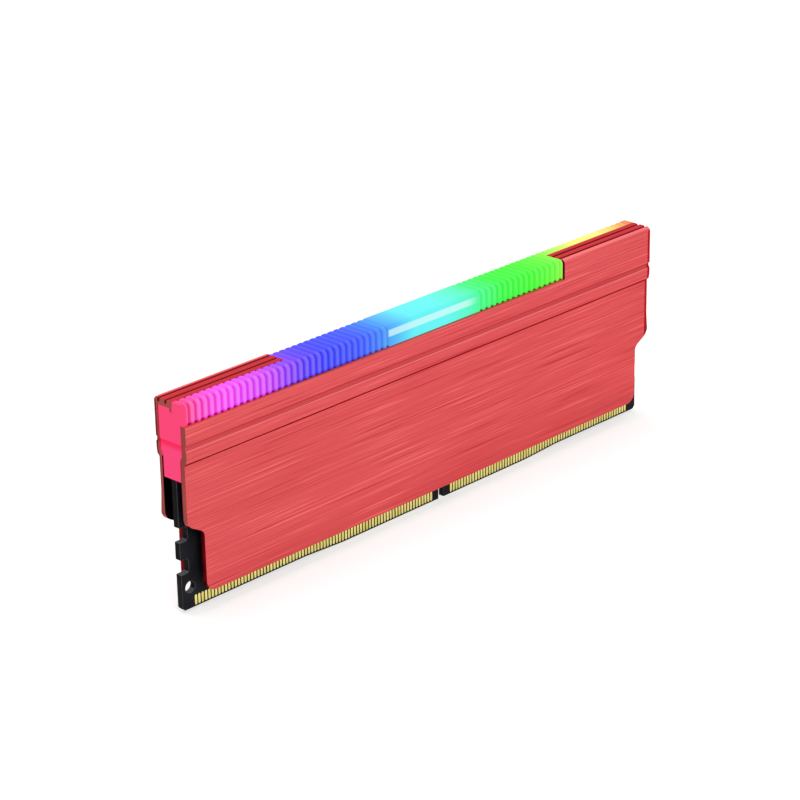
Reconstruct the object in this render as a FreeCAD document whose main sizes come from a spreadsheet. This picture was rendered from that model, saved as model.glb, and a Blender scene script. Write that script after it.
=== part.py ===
import FreeCAD, Part
import math
import os
import Sketcher
from FreeCAD import Vector

# Memory module with a two-cover heat spreader and a light guide along its top.
# Millimetres. +X runs along the module, +Y through it towards the rear cover, +Z up.
# The origin is under the middle of the whole, on the lowest edge of the board.

SIZES = {
    "board_length": 133.35,
    "board_height": 31.25,
    "board_thickness": 1.4,
    "edge_step": 0.5,
    "edge_step_start": 30.2,
    "edge_step_end": 40.4,
    "edge_step_shift": 3.0,
    "corner_chamfer": 0.6,
    "key_centre": 4.25,
    "key_width": 1.5,
    "key_height": 3.85,
    "side_notch_height": 3.0,
    "side_notch_depth": 2.0,
    "side_notch_radius": 0.75,
    "lower_notch_centre": 9.5,
    "upper_notch_centre": 16.1,
    "tooling_hole_diameter": 2.4,
    "tooling_hole_inset": 2.1,
    "tooling_hole_height": 4.9,
    "contact_pitch": 0.85,
    "contact_width": 0.6,
    "contact_thickness": 0.05,
    "contact_top_height": 2.95,
    "contact_edge_margin": 0.15,
    "contact_end_inset": 3.35,
    "key_to_contact": 2.975,
    "chip_count": 8,
    "chip_length": 9.0,
    "chip_height": 11.0,
    "chip_thickness": 1.2,
    "chip_middle_gap": 20.0,
    "chip_end_inset": 17.075,
    "chip_top_drop": 6.15,
    "pad_margin": 1.5,
    "pad_overlap": 0.8,
    "pad_thickness": 0.55,
    "data_chip_length": 3.0,
    "data_chip_height": 2.0,
    "data_chip_thickness": 0.6,
    "data_chip_drop": 2.1,
    "resistor_array_length": 2.0,
    "resistor_array_height": 1.0,
    "resistor_array_thickness": 0.45,
    "resistor_array_count": 18,
    "resistor_array_end_inset": 10.575,
    "resistor_array_centre_height": 7.2,
    "guide_rise": 11.75,
    "cover_overhang": 0.325,
    "cover_wall": 1.15,
    "upper_wall": 1.3,
    "outer_step": 0.65,
    "cover_bottom_clearance": 1.15,
    "outer_step_drop": 11.85,
    "outer_step_slope": 0.45,
    "ridge_bevel": 0.17,
    "ridge_bevel_height": 1.1,
    "ridge_height": 2.9,
    "line_groove_depth": 0.3,
    "line_groove_height": 1.15,
    "line_groove_slope": 0.2,
    "line_groove_ramp": 0.35,
    "inner_step_rise": 1.55,
    "inner_step_height": 0.8,
    "top_chamfer": 0.55,
    "flange_length": 28.35,
    "flange_reach": 5.0,
    "flange_thickness": 1.35,
    "flange_groove_width": 0.7,
    "flange_groove_depth": 0.75,
    "flange_groove_slope": 0.15,
    "hook_thickness": 0.6,
    "hook_depth": 2.1,
    "open_edge_drop": 4.2,
    "neck_inset": 4.05,
    "shoulder_height": 18.9,
    "neck_height": 16.7,
    "shoulder_radius": 2.2,
    "neck_radius": 1.6,
    "foot_radius": 2.3,
    "guide_gap": 0.1,
    "guide_inset": 0.5,
    "guide_leg_overlap": 3.85,
    "guide_web_drop": 8.0,
    "guide_web_setback": 0.4,
    "guide_edge_bevel": 0.8,
    "guide_edge_bulge": 0.2,
    "rib_count": 33,
    "rib_depth": 0.5,
    "rib_valley_width": 0.12,
    "rib_shoulder_width": 0.56,
    "rib_shoulder_drop": 0.12,
    "rib_crest_width": 0.6,
    "plain_length": 27.0,
    "strip_end_inset": 7.0,
    "strip_width": 3.0,
    "strip_thickness": 0.8,
    "strip_end_room": 0.5,
    "strip_headroom": 0.6,
    "led_count": 12,
    "led_side": 2.0,
    "led_thickness": 0.85,
    "led_end_inset": 5.0,
}

# How far a cutting shape reaches past the solid that it cuts.
CUT_MARGIN = 2.0

doc = FreeCAD.newDocument("ram_heat_spreader")
sheet = doc.addObject("Spreadsheet::Sheet", "sizes")
for row, (name, number) in enumerate(SIZES.items(), start=1):
    sheet.set(f"A{row}", name)
    sheet.set(f"B{row}", str(number))
    sheet.setAlias(f"B{row}", name)
doc.recompute()


class Size:
    """A length with its number now and the formula that ties it to the sheet."""

    def __init__(self, number, formula):
        self.number = number
        self.formula = formula

    def __add__(self, other):
        other = as_size(other)
        return Size(self.number + other.number, f"({self.formula} + {other.formula})")

    def __sub__(self, other):
        other = as_size(other)
        return Size(self.number - other.number, f"({self.formula} - {other.formula})")

    def __mul__(self, other):
        other = as_size(other)
        return Size(self.number * other.number, f"({self.formula} * {other.formula})")

    def __truediv__(self, other):
        other = as_size(other)
        return Size(self.number / other.number, f"({self.formula} / {other.formula})")

    def __neg__(self):
        return Size(-self.number, f"(0 - {self.formula})")


def as_size(value):
    if isinstance(value, Size):
        return value
    return Size(float(value), f"({value})")


def size(name):
    return Size(float(sheet.get(name)), f"sizes.{name}")


def count_of(name):
    return int(sheet.get(name))


# Across the module, from the board's middle plane outwards.
board_face = size("board_thickness") / 2
chip_face = board_face + size("chip_thickness")
inner_lower = chip_face + size("pad_thickness")
lower_face = inner_lower + size("cover_wall")
half_thickness = lower_face + size("outer_step")
inner_upper = half_thickness - size("upper_wall")
flange_inner = size("flange_reach") - half_thickness

# Along the module, from its middle outwards.
half_board = size("board_length") / 2
half_cover = half_board + size("cover_overhang")
cover_length = half_cover * 2
flange_end = half_cover - size("flange_length")

# Up the module, from the lowest edge of the board.
cover_bottom = size("contact_top_height") + size("cover_bottom_clearance")
top = size("board_height") + size("guide_rise")
outer_step_low = top - size("outer_step_drop")
inner_step_top = outer_step_low + size("inner_step_rise")
inner_step_low = inner_step_top - size("inner_step_height")
open_edge = top - size("open_edge_drop")


def origin_plane(body, role):
    return next(f for f in body.Origin.OriginFeatures if f.Role == role)


def new_body(label):
    body = doc.addObject("PartDesign::Body", label)
    body.Label = label
    return body


def new_sketch(body, name, role, offset=None):
    """A sketch on one of the body's origin planes, or at a bound distance from it."""
    sketch = body.newObject("Sketcher::SketchObject", name)
    sketch.AttachmentSupport = [(origin_plane(body, role), "")]
    sketch.MapMode = "FlatFace"
    if offset is not None:
        sketch.setExpression("AttachmentOffset.Base.z", offset.formula)
    return sketch


def bind_point(sketch, line, across, up):
    """Ties the start of a line to its two distances from the sketch's origin."""
    for kind, axis, distance in (("DistanceX", -2, across), ("DistanceY", -1, up)):
        if isinstance(distance, Size):
            rule = Sketcher.Constraint(kind, -1, 1, line, 1, distance.number)
            index = sketch.addConstraint(rule)
            sketch.setExpression(f"Constraints[{index}]", distance.formula)
        else:
            sketch.addConstraint(Sketcher.Constraint("PointOnObject", line, 1, axis))


def number_of(value):
    return value.number if isinstance(value, Size) else 0.0


def draw_outline(sketch, corners):
    """One closed outline of straight lines through corners bound to the sheet."""
    first = sketch.GeometryCount
    spots = [Vector(number_of(x), number_of(y), 0) for x, y in corners]
    for index, spot in enumerate(spots):
        following = spots[(index + 1) % len(spots)]
        sketch.addGeometry(Part.LineSegment(spot, following))
    for index in range(len(corners)):
        following = first + (index + 1) % len(corners)
        sketch.addConstraint(Sketcher.Constraint("Coincident", first + index, 2, following, 1))
    for index, (x, y) in enumerate(corners):
        bind_point(sketch, first + index, x, y)


def draw_rectangle(sketch, left, right, low, high):
    draw_outline(sketch, [(left, low), (right, low), (right, high), (left, high)])


def draw_circle(sketch, x, y, diameter):
    circle = Part.Circle(Vector(x.number, y.number, 0), Vector(0, 0, 1), diameter.number / 2)
    index = sketch.addGeometry(circle)
    rule = Sketcher.Constraint("Diameter", index, diameter.number)
    sketch.setExpression(f"Constraints[{sketch.addConstraint(rule)}]", diameter.formula)
    for kind, distance in (("DistanceX", x), ("DistanceY", y)):
        rule = Sketcher.Constraint(kind, -1, 1, index, 3, distance.number)
        sketch.setExpression(f"Constraints[{sketch.addConstraint(rule)}]", distance.formula)


def pad(body, name, sketch, length, symmetric=False, reversed_way=False):
    feature = body.newObject("PartDesign::Pad", name)
    feature.Profile = sketch
    feature.SideType = "Symmetric" if symmetric else "One side"
    feature.Reversed = reversed_way
    feature.setExpression("Length", length.formula)
    body.Tip = feature
    return feature


def pocket_through(body, name, sketch):
    feature = body.newObject("PartDesign::Pocket", name)
    feature.Profile = sketch
    feature.SideType = "Symmetric"
    feature.Type = "ThroughAll"
    body.Tip = feature
    return feature


def pocket(body, name, sketch, depth, reversed_way=False):
    feature = body.newObject("PartDesign::Pocket", name)
    feature.Profile = sketch
    feature.Reversed = reversed_way
    feature.setExpression("Length", depth.formula)
    body.Tip = feature
    return feature


def copies_in(span, pitch):
    """How many copies stand in a span at one pitch, with one at each end."""
    slack = 0.001
    spaces = span / pitch + slack
    return Size(math.floor(spaces.number) + 1, f"(floor({spaces.formula}) + 1)")


def line_pattern(body, name, originals, spacing, count):
    """Copies along +X, one spacing apart."""
    feature = body.newObject("PartDesign::LinearPattern", name)
    feature.Originals = originals
    feature.Direction = (origin_plane(body, "X_Axis"), [""])
    feature.Mode = "Spacing"
    feature.setExpression("Offset", spacing.formula)
    feature.setExpression("Occurrences", count.formula)
    body.Tip = feature
    return feature


def half_turn_pattern(body, name, originals):
    """The same again after half a turn about the upright axis."""
    feature = body.newObject("PartDesign::PolarPattern", name)
    feature.Originals = originals
    feature.Axis = (origin_plane(body, "Z_Axis"), [""])
    feature.Angle = 360
    feature.Occurrences = 2
    body.Tip = feature
    return feature


def round_edges(body, name, spots, radius):
    """Rounds the edges that run straight through the module at the given spots."""
    doc.recompute()
    base = body.Tip
    names = edges_at(base.Shape, spots)
    feature = body.newObject("PartDesign::Fillet", name)
    feature.Base = (base, names)
    feature.setExpression("Radius", radius.formula)
    body.Tip = feature
    return feature


def edges_at(shape, spots):
    """Names of the straight edges along Y whose X and Z are those of a spot."""
    near = 1e-4
    found = []
    for number, edge in enumerate(shape.Edges, start=1):
        start, end = edge.firstVertex().Point, edge.lastVertex().Point
        if abs(start.x - end.x) > near or abs(start.z - end.z) > near:
            continue
        if any(max(abs(start.x - x.number), abs(start.z - z.number)) < near for x, z in spots):
            found.append(f"Edge{number}")
    if len(found) < len(spots):
        raise ValueError(f"only {len(found)} edges found at {len(spots)} spots")
    return found


def flange_groove(start):
    """Corners of one groove in the flange's top, from its outer to its inner edge."""
    end = start + size("flange_groove_width")
    floor = top - size("flange_groove_depth")
    slope = size("flange_groove_slope")
    return [(start, top), (start + slope, floor), (end - slope, floor), (end, top)]


def cover_profile():
    """Section of the front cover, as (Y, Z) corners; its outer face looks to -Y."""
    ridge_low = outer_step_low + size("outer_step_slope")
    ridge_high = outer_step_low + size("ridge_height")
    groove_high = ridge_high + size("line_groove_height")
    groove_floor = half_thickness - size("line_groove_depth")
    ridge_width = (size("flange_reach") - size("flange_groove_width") * 2) / 3
    first_groove = ridge_width - half_thickness
    second_groove = first_groove + ridge_width + size("flange_groove_width")
    underside = top - size("flange_thickness")
    hook_low = top - size("hook_depth")
    hook_outer = flange_inner - size("hook_thickness")
    return [
        (-lower_face, cover_bottom),
        (-lower_face, outer_step_low),
        (size("ridge_bevel") - half_thickness, ridge_low),
        (-half_thickness, ridge_low + size("ridge_bevel_height")),
        (-half_thickness, ridge_high),
        (-groove_floor, ridge_high + size("line_groove_ramp")),
        (-groove_floor, groove_high - size("line_groove_slope")),
        (-half_thickness, groove_high),
        (-half_thickness, top - size("top_chamfer")),
        (size("top_chamfer") - half_thickness, top),
        *flange_groove(first_groove),
        *flange_groove(second_groove),
        (flange_inner, top),
        (flange_inner, hook_low),
        (hook_outer, hook_low),
        (hook_outer, underside),
        (-inner_upper, underside),
        (-inner_upper, inner_step_top),
        (-inner_lower, inner_step_low),
        (-inner_lower, cover_bottom),
    ]


def side_cut(side):
    """What the cover's front outline loses at one end, as (X, Z) corners."""
    edge = half_cover * side
    past = (half_cover + CUT_MARGIN) * side
    neck = (half_cover - size("neck_inset")) * side
    below = cover_bottom - CUT_MARGIN
    return [
        (past, size("shoulder_height")),
        (edge, size("shoulder_height")),
        (neck, size("neck_height")),
        (neck, below),
        (past, below),
    ]


def make_cover(label, turned):
    """An extrusion with its flange milled away over part of its length."""
    body = new_body(label)
    section = new_sketch(body, f"{label}_section", "YZ_Plane")
    draw_outline(section, cover_profile())
    pad(body, f"{label}_extrusion", section, cover_length, symmetric=True)
    window = new_sketch(body, f"{label}_window", "XZ_Plane")
    past_end = -(half_cover + CUT_MARGIN)
    past_top = top + CUT_MARGIN
    draw_rectangle(window, past_end, flange_end, open_edge, past_top)
    pocket_through(body, f"{label}_window_cut", window)
    ends = new_sketch(body, f"{label}_ends", "XZ_Plane")
    for side in (-1, 1):
        draw_outline(ends, side_cut(side))
    pocket_through(body, f"{label}_end_cuts", ends)
    neck = half_cover - size("neck_inset")
    shoulders = [(half_cover * side, size("shoulder_height")) for side in (-1, 1)]
    necks = [(neck * side, size("neck_height")) for side in (-1, 1)]
    feet = [(neck * side, cover_bottom) for side in (-1, 1)]
    round_edges(body, f"{label}_shoulders", shoulders, size("shoulder_radius"))
    round_edges(body, f"{label}_necks", necks, size("neck_radius"))
    round_edges(body, f"{label}_feet", feet, size("foot_radius"))
    if turned:
        body.Placement = FreeCAD.Placement(Vector(), FreeCAD.Rotation(Vector(0, 0, 1), 180))
    return body


gap = size("guide_gap")
guide_face = half_thickness - size("guide_inset")
guide_shoulder = open_edge + gap
guide_bottom = size("board_height") - size("guide_leg_overlap")
guide_web_top = top - size("guide_web_drop")
web_end = half_cover - size("guide_web_setback")
half_strip = half_cover - size("strip_end_inset")
plain_half = size("plain_length") / 2
rib_pitch = (half_cover - plain_half) / size("rib_count")


def rib_valley(centre, face, outward):
    """A valley between two ribs, as (along, across) corners; it opens outward."""
    past = face + CUT_MARGIN * outward
    depth = size("rib_depth") * outward
    drop = size("rib_shoulder_drop") * outward
    half_mouth = (rib_pitch - size("rib_crest_width")) / 2
    half_shoulder = size("rib_shoulder_width") / 2
    half_floor = size("rib_valley_width") / 2
    return [
        (centre - half_mouth, past),
        (centre - half_mouth, face),
        (centre - half_shoulder, face - drop),
        (centre - half_floor, face - depth),
        (centre + half_floor, face - depth),
        (centre + half_shoulder, face - drop),
        (centre + half_mouth, face),
        (centre + half_mouth, past),
    ]


def cut_ribs(body, name, first):
    """Valleys across front, top and rear, repeated along the bar."""
    upright = new_sketch(body, f"{name}_uprights", "XY_Plane", guide_shoulder)
    draw_outline(upright, rib_valley(first, -guide_face, -1))
    draw_outline(upright, rib_valley(first, guide_face, 1))
    rise = top - guide_shoulder + CUT_MARGIN
    sides = pocket(body, f"{name}_upright_cut", upright, rise, reversed_way=True)
    over = new_sketch(body, f"{name}_over", "XZ_Plane")
    draw_outline(over, rib_valley(first, top, 1))
    across = pocket_through(body, f"{name}_over_cut", over)
    line_pattern(body, f"{name}_row", [sides, across], rib_pitch, size("rib_count"))


def flange_room():
    """Room for the rear cover's wall, flange and hook, as (Y, Z) corners."""
    wall = inner_upper - gap
    underside = top - size("flange_thickness") - gap
    slot_floor = top - size("hook_depth") - gap
    slot_near = size("hook_thickness") - flange_inner + gap
    slot_far = -flange_inner - gap
    past = half_thickness + CUT_MARGIN
    past_top = top + CUT_MARGIN
    return [
        (past, guide_shoulder - gap),
        (wall, guide_shoulder - gap),
        (wall, underside),
        (slot_near, underside),
        (slot_near, slot_floor),
        (slot_far, slot_floor),
        (slot_far, past_top),
        (past, past_top),
    ]


def make_light_guide():
    """One moulded bar: ribbed where it shows, stepped under the two flanges."""
    body = new_body("light_guide")
    crown = new_sketch(body, "guide_crown", "YZ_Plane")
    neck = inner_upper - gap
    bevel = size("guide_edge_bevel")
    bend = bevel / 2 - size("guide_edge_bulge")
    draw_outline(
        crown,
        [
            (-neck, guide_web_top),
            (neck, guide_web_top),
            (neck, guide_shoulder),
            (guide_face, guide_shoulder),
            (guide_face, top - bevel),
            (guide_face - bend, top - bend),
            (guide_face - bevel, top),
            (bevel - guide_face, top),
            (bend - guide_face, top - bend),
            (-guide_face, top - bevel),
            (-guide_face, guide_shoulder),
            (-neck, guide_shoulder),
        ],
    )
    pad(body, "guide_crown_bar", crown, cover_length, symmetric=True)
    web = new_sketch(body, "guide_web", "YZ_Plane")
    foot = inner_lower - gap
    draw_outline(
        web,
        [
            (-foot, guide_bottom),
            (foot, guide_bottom),
            (foot, inner_step_low),
            (neck, inner_step_top),
            (neck, guide_web_top),
            (-neck, guide_web_top),
            (-neck, inner_step_top),
            (-foot, inner_step_low),
        ],
    )
    pad(body, "guide_web_bar", web, web_end * 2, symmetric=True)
    relief = new_sketch(body, "flange_relief", "YZ_Plane", gap - flange_end)
    draw_outline(relief, flange_room())
    length = half_cover - flange_end + CUT_MARGIN
    cut = pocket(body, "flange_relief_cut", relief, length)
    half_turn_pattern(body, "flange_relief_pair", [cut])
    slot = new_sketch(body, "board_slot", "YZ_Plane")
    slot_half = board_face + gap
    below = guide_bottom - CUT_MARGIN
    draw_rectangle(slot, -slot_half, slot_half, below, size("board_height"))
    pocket_through(body, "board_slot_cut", slot)
    room = new_sketch(body, "strip_pocket", "XY_Plane", guide_bottom)
    half_room = half_strip + size("strip_end_room")
    room_width = size("strip_width") / 2 + gap
    draw_rectangle(room, -half_room, half_room, -room_width, room_width)
    strip_top = size("board_height") + size("strip_thickness") + size("led_thickness")
    depth = strip_top + size("strip_headroom") - guide_bottom
    pocket(body, "strip_pocket_cut", room, depth, reversed_way=True)
    cut_ribs(body, "left_ribs", rib_pitch - half_cover)
    cut_ribs(body, "right_ribs", plain_half)
    return body


def board_outline():
    """The memory board from the front, as (X, Z) corners, with its stepped lower edge."""
    chamfer = size("corner_chamfer")
    step = size("edge_step")
    left_high = size("edge_step_shift") * 2 - size("edge_step_end")
    left_low = size("edge_step_shift") * 2 - size("edge_step_start")
    return [
        (-half_board, size("board_height")),
        (-half_board, step + chamfer),
        (chamfer - half_board, step),
        (left_high, step),
        (left_low, 0),
        (size("edge_step_start"), 0),
        (size("edge_step_end"), step),
        (half_board - chamfer, step),
        (half_board, step + chamfer),
        (half_board, size("board_height")),
    ]


def make_memory_board():
    """A flat board with an edge connector, a key, side notches and tooling holes."""
    body = new_body("memory_board")
    outline = new_sketch(body, "board_front", "XZ_Plane")
    draw_outline(outline, board_outline())
    pad(body, "board_plate", outline, size("board_thickness"), symmetric=True)
    openings = new_sketch(body, "board_notches", "XZ_Plane")
    key_half = size("key_width") / 2
    key_left = size("key_centre") - key_half
    key_right = size("key_centre") + key_half
    draw_rectangle(openings, key_left, key_right, as_size(-CUT_MARGIN), size("key_height"))
    half_notch = size("side_notch_height") / 2
    inner = half_board - size("side_notch_depth")
    past = half_board + CUT_MARGIN
    centres = (size("lower_notch_centre"), size("upper_notch_centre"))
    for side in (-1, 1):
        for centre in centres:
            low, high = centre - half_notch, centre + half_notch
            draw_rectangle(openings, inner * side, past * side, low, high)
        hole_x = (half_board - size("tooling_hole_inset")) * side
        height = size("tooling_hole_height")
        draw_circle(openings, hole_x, height, size("tooling_hole_diameter"))
    pocket_through(body, "board_notch_cuts", openings)
    round_edges(
        body,
        "notch_corners",
        [
            (inner * side, centre + half_notch * way)
            for side in (-1, 1)
            for centre in centres
            for way in (-1, 1)
        ],
        size("side_notch_radius"),
    )
    return body


def make_contacts(label, side):
    """One face's gold contacts: two rows cut to follow the board's lower edge."""
    body = new_body(label)
    body.AllowCompound = True
    face = board_face * -side
    half_width = size("contact_width") / 2
    margin = size("contact_edge_margin")
    pitch = size("contact_pitch")
    outermost = half_board - size("contact_end_inset")
    left_span = outermost + size("key_centre") - size("key_to_contact")
    right_span = outermost - size("key_centre") - size("key_to_contact")
    left_count = copies_in(left_span, pitch)
    right_count = copies_in(right_span, pitch)
    first_right = outermost - pitch * (right_count - 1)
    rows = (("left", -outermost, left_count), ("right", first_right, right_count))
    for row, first, count in rows:
        blank = new_sketch(body, f"{label}_{row}_blank", "XZ_Plane", face)
        left, right = first - half_width, first + half_width
        draw_rectangle(blank, left, right, margin, size("contact_top_height"))
        thickness = size("contact_thickness")
        plate = pad(body, f"{label}_{row}_pad", blank, thickness, reversed_way=side > 0)
        line_pattern(body, f"{label}_{row}_row", [plate], pitch, count)
    trim = new_sketch(body, f"{label}_trim", "XZ_Plane")
    low = [(x, margin if y == 0 else y + margin) for x, y in board_outline()[2:8]]
    below = as_size(-CUT_MARGIN)
    draw_outline(trim, low + [(low[-1][0], below), (low[0][0], below)])
    pocket_through(body, f"{label}_trim_cut", trim)
    return body


def make_block(label, lengths, centre, low_corner_y, low_corner_z):
    """A plain block centred along X, bound to the sheet in size and place."""
    block = doc.addObject("Part::Box", label)
    block.Label = label
    for name, length in zip(("Length", "Width", "Height"), lengths):
        block.setExpression(name, length.formula)
    corner = (centre - lengths[0] / 2, low_corner_y, low_corner_z)
    for axis, distance in zip("xyz", corner):
        block.setExpression(f"Placement.Base.{axis}", distance.formula)
    return block


def face_start(side, thickness):
    """Low Y of a layer that lies on the board's rear (+1) or front (-1) face."""
    if side > 0:
        return board_face
    return -board_face - thickness


def chip_centre(index):
    """Chips stand evenly in two groups, with a wider gap between the groups."""
    half_count = count_of("chip_count") // 2
    side = 1 if index >= half_count else -1
    outward = index - half_count if side > 0 else half_count - 1 - index
    innermost = size("chip_middle_gap") / 2
    outermost = half_board - size("chip_end_inset")
    pitch = (outermost - innermost) / (half_count - 1)
    return (innermost + pitch * outward) * side


chip_top = size("board_height") - size("chip_top_drop")
chip_low = chip_top - size("chip_height")


def make_chips(side_name, side):
    lengths = (size("chip_length"), size("chip_thickness"), size("chip_height"))
    start = face_start(side, size("chip_thickness"))
    return [
        make_block(f"{side_name}_memory_chip_{i + 1}", lengths, chip_centre(i), start, chip_low)
        for i in range(count_of("chip_count"))
    ]


def make_pad(label, side):
    """Soft heat-conducting pad that fills the space from the chips to the cover."""
    thickness = size("pad_thickness")
    last = chip_centre(count_of("chip_count") - 1)
    length = (last + size("chip_length") / 2 + size("pad_margin")) * 2
    height = size("chip_height") + size("pad_overlap") * 2
    start = chip_face if side > 0 else -chip_face - thickness
    return make_block(label, (length, thickness, height), as_size(0), start, chip_low - size("pad_overlap"))


def make_data_chip():
    thickness = size("data_chip_thickness")
    lengths = (size("data_chip_length"), thickness, size("data_chip_height"))
    low = chip_low - size("data_chip_drop") - size("data_chip_height") / 2
    return make_block("serial_data_chip", lengths, as_size(0), face_start(-1, thickness), low)


def make_resistor_arrays():
    """A row of small parts between the chips and the contacts, as separate solids."""
    body = new_body("front_resistor_arrays")
    body.AllowCompound = True
    sketch = new_sketch(body, "resistor_array_front", "XZ_Plane", board_face)
    count = size("resistor_array_count")
    outermost = half_board - size("resistor_array_end_inset")
    pitch = outermost * 2 / (count - 1)
    half_length = size("resistor_array_length") / 2
    half_height = size("resistor_array_height") / 2
    centre = size("resistor_array_centre_height")
    low, high = centre - half_height, centre + half_height
    draw_rectangle(sketch, -outermost - half_length, half_length - outermost, low, high)
    block = pad(body, "resistor_array_block", sketch, size("resistor_array_thickness"))
    line_pattern(body, "resistor_array_row", [block], pitch, count)
    return body


def make_led_strip():
    lengths = (half_strip * 2, size("strip_width"), size("strip_thickness"))
    start = -size("strip_width") / 2
    return make_block("led_strip_board", lengths, as_size(0), start, size("board_height"))


def make_leds():
    side = size("led_side")
    lengths = (side, side, size("led_thickness"))
    low = size("board_height") + size("strip_thickness")
    first = size("led_end_inset") - half_strip
    pitch = -first * 2 / (size("led_count") - 1)
    return [
        make_block(f"led_{index + 1:02d}", lengths, first + pitch * index, -side / 2, low)
        for index in range(count_of("led_count"))
    ]


def build_all():
    return [
        make_cover("front_cover", turned=False),
        make_cover("rear_cover", turned=True),
        make_light_guide(),
        make_led_strip(),
        *make_leds(),
        make_memory_board(),
        make_contacts("front_contacts", side=-1),
        make_contacts("rear_contacts", side=1),
        *make_chips("front", -1),
        *make_chips("rear", 1),
        make_pad("front_thermal_pad", -1),
        make_pad("rear_thermal_pad", 1),
        make_data_chip(),
        make_resistor_arrays(),
    ]


def check_document(parts):
    for item in doc.Objects:
        if "Invalid" in item.State or "Error" in item.State:
            raise RuntimeError(f"{item.Name} failed: {item.State}")
        if item.TypeId == "PartDesign::Pocket":
            if item.Shape.Volume >= item.BaseFeature.Shape.Volume:
                raise RuntimeError(f"{item.Name} cuts nothing")
    for part in parts:
        if part.Shape.isNull() or not part.Shape.isValid():
            raise RuntimeError(f"{part.Label} has no valid shape")


parts = build_all()
doc.recompute()
check_document(parts)
os.makedirs("parts", exist_ok=True)
for part in parts:
    part.Shape.exportStep(f"parts/{part.Label}.step")
    box = part.Shape.BoundBox
    solids = len(part.Shape.Solids)
    print(f"{part.Label}: {solids} solids, {box.XLength:.2f} x {box.YLength:.2f} x {box.ZLength:.2f}")
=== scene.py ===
import math
import bmesh
import bpy
from mathutils import Matrix, Vector


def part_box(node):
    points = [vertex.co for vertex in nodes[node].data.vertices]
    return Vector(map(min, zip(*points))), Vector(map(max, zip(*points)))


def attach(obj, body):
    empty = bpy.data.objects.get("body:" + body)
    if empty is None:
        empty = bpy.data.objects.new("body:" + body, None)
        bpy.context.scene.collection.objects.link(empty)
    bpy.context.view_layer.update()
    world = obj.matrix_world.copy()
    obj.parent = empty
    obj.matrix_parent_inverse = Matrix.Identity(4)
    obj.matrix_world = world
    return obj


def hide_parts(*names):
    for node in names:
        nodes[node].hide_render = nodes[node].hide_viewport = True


# Looks of a memory module with a red two-cover heat spreader and a lit, ribbed light guide.
# Metres. +X runs along the module, -Y is its front and +Z is up.

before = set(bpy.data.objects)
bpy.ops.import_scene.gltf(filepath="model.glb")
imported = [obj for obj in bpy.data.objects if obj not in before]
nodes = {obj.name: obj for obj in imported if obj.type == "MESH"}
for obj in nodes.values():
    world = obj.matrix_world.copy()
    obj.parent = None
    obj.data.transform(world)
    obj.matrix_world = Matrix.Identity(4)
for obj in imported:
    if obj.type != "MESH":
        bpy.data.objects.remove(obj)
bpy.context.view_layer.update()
MM = 0.001

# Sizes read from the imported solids.
guide_low, guide_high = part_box("light_guide")
board_low, board_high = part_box("memory_board")
half_length = guide_high.x
top = guide_high.z
guide_face = guide_high.y

# The same sizes as in the solids, where a box can't give them.
GUIDE_WEB_HALF = 2.85 * MM
GUIDE_FOOT_HALF = 2.35 * MM
GUIDE_WEB_TOP = 35.0 * MM
GUIDE_WEB_SETBACK = 0.15 * MM
GUIDE_STEP_TOP = 32.7 * MM
GUIDE_STEP_LOW = 31.9 * MM
GUIDE_SHOULDER = 38.9 * MM
GUIDE_EDGE_RADIUS = 0.85 * MM
OPEN_EDGE = 38.8 * MM
FLANGE_END = 38.65 * MM
FLANGE_GAP = 0.1 * MM
FLANGE_UNDERSIDE = 41.55 * MM
HOOK_SLOT_FLOOR = 40.8 * MM
HOOK_SLOT_NEAR = 0.05 * MM
HOOK_SLOT_FAR = 0.85 * MM
COVER_INNER_FACE = 2.45 * MM
STEP_LOW = 31.15 * MM
STEP_HIGH = 31.6 * MM
LINE_GROOVE_LOW = 34.05 * MM
LINE_GROOVE_HIGH = 35.2 * MM
FLANGE_GROOVE_REACH = 3.2 * MM
FLANGE_GROOVE_DEPTH = 0.75 * MM
CHAMFER = 0.55 * MM
COVER_SOFTENING = 0.1 * MM
BOARD_SOFTENING = 0.12 * MM
# Distance from a cover's flanged end and how far its outer face draws in there.
END_ROUNDING = ((1.1 * MM, 0.0), (0.2 * MM, 0.1 * MM), (0.0, 0.8 * MM))
END_ROUNDING_FROM = 3.5 * MM
SLOT_HALF = 0.8 * MM
SLOT_TOP = 31.25 * MM
SLOT_END_ROOM = 0.03 * MM
PLAIN_HALF = 13.5 * MM
RIB_COUNT = 33
RIB_DEPTH = 0.5 * MM
RIB_ROUNDNESS = 2.6
RIB_STEPS = 12
# Sections of the bar crowd toward the valleys by this power.
RIB_CROWDING = 1.7
EDGE_STEPS = 6
rib_pitch = (half_length - PLAIN_HALF) / RIB_COUNT

CONTACT_WIDTH = 0.6 * MM
CONTACT_PITCH = 0.85 * MM
CONTACT_MARGIN = 0.3 * MM
EDGE_STEP = 0.5 * MM
EDGE_STEP_START = 30.2 * MM
EDGE_STEP_END = 40.4 * MM
EDGE_STEP_MIDDLE = 3.0 * MM
LEFT_CONTACTS = 77
RIGHT_CONTACTS = 67
# Shares of a contact's width on its side and crown, and of its thickness where the side ends.
CONTACT_SIDE_WIDTH = 0.96
CONTACT_SIDE_HEIGHT = 0.35
CONTACT_CROWN_WIDTH = 0.72
CONTACT_ROUND_STEPS = 6

# Points closer than SAME_POINT are one, and points within ON_PLANE of a cutting plane lie on it.
SAME_POINT = 1e-6
ON_PLANE = 1e-7
# Edges flatter than the first angle are dissolved; those sharper than the second are softened.
FLAT_ANGLE = math.radians(0.5)
SOFTENED_ANGLE = math.radians(25)
# How far a cutter reaches past what it cuts.
CUT_PAST = 2 * MM


def clear_default_scene():
    """Removes the start-up cube, lamp and camera if they are there."""
    for name in ("Cube", "Light", "Camera"):
        found = bpy.data.objects.get(name)
        if found is not None:
            bpy.data.objects.remove(found, do_unlink=True)


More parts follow.
